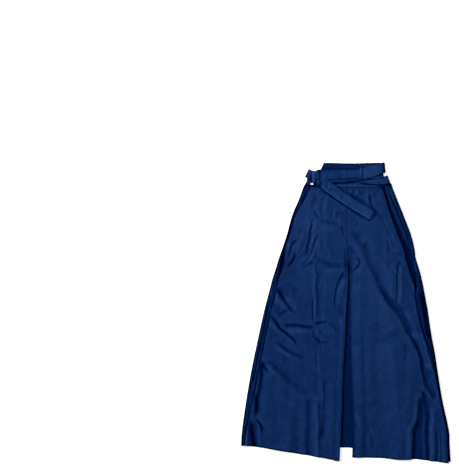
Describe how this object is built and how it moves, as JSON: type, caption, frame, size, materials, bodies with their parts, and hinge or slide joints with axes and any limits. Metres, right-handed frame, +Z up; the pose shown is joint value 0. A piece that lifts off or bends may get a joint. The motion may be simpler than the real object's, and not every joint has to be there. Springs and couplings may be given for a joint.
{
  "type": "hakama trousers",
  "caption": "Wide pleated navy hakama trousers laid flat, front up, with the stiff back board above the waist and both waist ties wrapped across the front, one ending in a diagonal free tail.",
  "frame": {"origin": "middle of the footprint, on the surface the trousers lie on", "axes": "+Y from the hems to the waist, +X to the right seen from above, +Z up off the surface"},
  "size_m": [0.7348, 1.0502, 0.0156],
  "materials": {
    "front_left": "plain woven navy cloth, soft and matte with a faint sheen on its folds",
    "front_right": "plain woven navy cloth, soft and matte with a faint sheen on its folds",
    "back_left": "plain woven navy cloth, soft and matte with a faint sheen on its folds",
    "back_right": "plain woven navy cloth, soft and matte with a faint sheen on its folds",
    "inner_left": "plain woven navy cloth, soft and matte with a faint sheen on its folds",
    "inner_right": "plain woven navy cloth, soft and matte with a faint sheen on its folds",
    "waistband_front": "plain woven navy cloth, soft and matte with a faint sheen on its folds",
    "waistband_back": "plain woven navy cloth, soft and matte with a faint sheen on its folds",
    "back_board": "stiffened board under the same plain navy cloth, edge-stitched, matte",
    "tie_root_left": "plain woven navy cloth, soft and matte with a faint sheen on its folds",
    "tie_upper": "folded strap of the same navy cloth, edge-stitched, matte",
    "tie_lower": "folded strap of the same navy cloth, crumpled lengthwise, matte",
    "belt_loop": "narrow loop of the same navy cloth, matte",
    "end_keeper": "short loop of slightly lighter navy cloth, matte"
  },
  "bodies": {
    "root": {"front_left": "front_left", "front_right": "front_right", "back_left": "back_left", "back_right": "back_right", "inner_left": "inner_left", "inner_right": "inner_right", "waistband_front": "waistband_front", "waistband_back": "waistband_back", "back_board": "back_board", "tie_root_left": "tie_root_left", "tie_upper": "tie_upper", "tie_lower": "tie_lower", "belt_loop": "belt_loop", "end_keeper": "end_keeper"}
  },
  "joints": []
}
